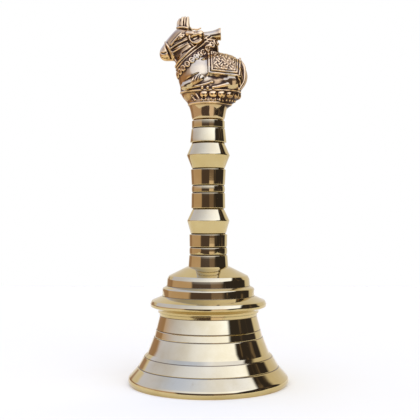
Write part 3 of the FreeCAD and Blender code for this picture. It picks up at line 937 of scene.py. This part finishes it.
def make_world():
    """Soft studio surroundings by direction: a big overhead softbox in front, a dark flag at the right,
    a dark room beyond the camera, a brown wall at the left and a white backdrop behind."""
    world = bpy.data.worlds.new("studio")
    bpy.context.scene.world = world
    world.use_nodes = True
    nodes = Nodes(world.node_tree)
    direction = nodes.add("ShaderNodeTexCoord").outputs["Generated"]
    x, y, z = nodes.add("ShaderNodeSeparateXYZ", {0: direction}).outputs
    degrees = 180 / math.pi
    ripple = nodes.math("SUBTRACT", nodes.noise(direction, 5.0, 3.0), 0.5)
    true_turn = nodes.math("MULTIPLY", nodes.math("ARCTAN2", x, nodes.math("MULTIPLY", y, -1.0)), degrees)
    turn = nodes.math("MULTIPLY_ADD", ripple, 10.0, true_turn)
    rise = nodes.math("MULTIPLY", nodes.math("ARCSINE", z), degrees)
    # low band in front: brown wall at the left, dark room, a bright gap below eye level, dark again
    low = nodes.mix(nodes.step(turn, -52, -42), BROWN_WALL, DARK_ROOM)
    gap = nodes.mix(nodes.step(rise, -4.4, -2.6), GAP_BRIGHT, GAP_DIM)
    low = nodes.mix(nodes.step(turn, 4, 9), low, gap)
    low = nodes.mix(nodes.step(turn, 30, 44), low, DARK_CORNER)
    # softbox: cooler and dimmer at the left, warmer and brighter towards the right, dimmer overhead
    side_share = nodes.step(turn, -100, 50)
    near_rim = nodes.mix(side_share, (0.80, 0.93, 1.75, 1), (1.70, 2.02, 3.5, 1))
    overhead = nodes.mix(side_share, (0.72, 0.95, 2.15, 1), (1.30, 1.55, 2.9, 1))
    soft = nodes.mix(nodes.step(rise, 35, 62), near_rim, overhead)
    # dark flag, whose edge leans away to the right with height
    flag_edge = nodes.math("ADD", 44.0, nodes.step(rise, 12, 58, 0.0, 66.0))
    flag = nodes.step(nodes.math("SUBTRACT", turn, flag_edge), -7, 3)
    flag_tone = nodes.mix(nodes.step(ripple, 0.06, 0.22), FLAG_DARK, FLAG_FOLD)
    front = nodes.mix(nodes.step(rise, 5, 17), low, soft)
    front = nodes.mix(flag, front, flag_tone)
    # white backdrop on both sides and behind, with the foot of the brown wall before it at the left
    front = nodes.mix(nodes.step(true_turn, 117, 125), front, BACKDROP)
    back_left = nodes.math("MULTIPLY", nodes.step(true_turn, -126, -134), nodes.step(rise, 27, 21))
    front = nodes.mix(back_left, front, BACKDROP)
    left_wall = nodes.math("MULTIPLY", nodes.step(true_turn, -113, -121), nodes.step(rise, 14, 9))
    front = nodes.mix(left_wall, front, WALL_FOOT)
    front = nodes.mix(nodes.step(true_turn, -152, -158), front, BACKDROP)
    seen = nodes.add("ShaderNodeLightPath").outputs["Is Camera Ray"]
    colour = nodes.mix(seen, front, (1.0, 1.0, 1.0, 1))
    background = nodes.add("ShaderNodeBackground", {"Color": colour, "Strength": 1.0})
    output = nodes.add("ShaderNodeOutputWorld")
    world.node_tree.links.new(background.outputs[0], output.inputs[0])


def make_floor():
    """Plain pale sheet that the bell stands on. It ends well in front of the bell, as a table does."""
    left, right, front, back = -0.36, 0.36, -0.24, 0.55
    floor = mesh_object("floor", [(left, front, 0), (right, front, 0), (right, back, 0), (left, back, 0)],
                        [(0, 1, 2, 3)])
    material, nodes, shader = new_material("floor_white")
    paper = nodes.noise(nodes.place(), 40.0, 3.0)
    colour = nodes.mix(paper, (0.95, 0.83, 0.50, 1), (0.97, 0.85, 0.52, 1))
    plug(nodes, shader, Base_Color=colour, Roughness=0.9, Emission_Color=(1.0, 0.95, 0.80, 1),
         Emission_Strength=0.12)
    floor.data.materials.append(material)


def make_camera(low, high):
    """Nearly level view of the bell's side, the bull looking left, from a little under its mid height."""
    height = high[2] - low[2]
    camera_data = bpy.data.cameras.new("camera")
    camera_data.sensor_width = SENSOR
    camera_data.lens = LENS
    camera = in_scene("camera", camera_data)
    camera.location = (CAMERA_SIDE, -CAMERA_AWAY * height, low[2] + CAMERA_ABOVE * height)
    camera.rotation_euler = (math.radians(CAMERA_TILT), 0, 0)
    bpy.context.scene.camera = camera


# ---- The bell ------------------------------------------------------------------------------------
# lines turned into the shell: level, depth, half width; the material paints shade on all of them, and
# those without depth are only painted dark lines, a painted reflection of dark surroundings
SHELL_LINES = (
    (0.0082, 0.00016, 0.00034),
    (0.0132, 0.00008, 0.00028),
    (0.0223, 0.00008, 0.00030),
    (0.0257, 0.00018, 0.00032),
    (0.0323, 0.0, 0.00030),
    (0.0338, 0.0, 0.00025),
    (0.0416, 0.0, 0.00026),
    (0.0463, 0.0, 0.00026),
)


def make_bell_shell(outside, inside):
    outline = turned_outline("bell_shell")
    for level, depth, width in SHELL_LINES:
        outline = scored(outline, level, depth, width)
    marks = [(level, width) for level, _, width in SHELL_LINES]
    shell = lathe("bell_shell_turned", outline, SHELL_SEGMENTS, marks=marks)
    shell.data.materials.append(outside)
    shell.data.materials.append(inside)
    lip = max(outline)[0]
    for polygon in shell.data.polygons:
        centre, normal = polygon.center, polygon.normal
        from_axis = math.hypot(centre.x, centre.y)
        outward = (centre.x * normal.x + centre.y * normal.y) / max(from_axis, ON_AXIS)
        under_crown = normal.z < -0.5 and centre.z > lip / 2 and from_axis < lip / 2
        polygon.material_index = 1 if outward < -0.05 or under_crown else 0
    stand_in(shell, "bell_shell")


def make_handle(brass):
    grip = lathe("handle_grip_turned", turned_outline("handle_grip"), GRIP_SEGMENTS)
    grip.data.materials.append(brass)
    stand_in(grip, "handle_grip")


def make_clapper_ball():
    ball = lathe("clapper_ball_turned", turned_outline("clapper_ball"), BALL_SEGMENTS)
    ball.data.materials.append(polished_brass("clapper_brass_skin", CLAPPER_BRASS, 0.2, 0.42, 0.9))
    stand_in(ball, "clapper_ball")


def coat_ironwork():
    """Bolt, washer, nut, stud, link and rod keep their CAD meshes and get their metal."""
    steel = worked_metal("zinc_steel_skin", (0.52, 0.52, 0.50), (0.20, 0.19, 0.17), 0.34, 900.0)
    iron = worked_metal("iron_wire_skin", (0.30, 0.27, 0.24), (0.07, 0.05, 0.04), 0.42, 1400.0,
                        (1.0, 1.0, 0.1))
    for node, material in (("eye_bolt", steel), ("crown_washer", steel), ("crown_nut", steel),
                           ("finial_stud", steel), ("clapper_link", iron), ("clapper_rod", iron)):
        mesh = frame["nodes"][node].data
        mesh.materials.clear()
        mesh.materials.append(material)


def main():
    make_camera(*cad_box)
    make_world()
    make_floor()
    brass = polished_brass("polished_brass_skin", BRASS, 0.03, 0.09, 0.35)
    make_bell_shell(brass, bell_inside("bell_inside_skin", BRASS))
    make_handle(brass)
    finial = make_finial("nandi_cast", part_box("nandi_finial")[0][2])
    finial.data.materials.append(antique_brass("antique_brass_skin"))
    stand_in(finial, "nandi_finial")
    make_clapper_ball()
    coat_ironwork()


main()
bpy.context.scene.view_settings.view_transform = "Standard"
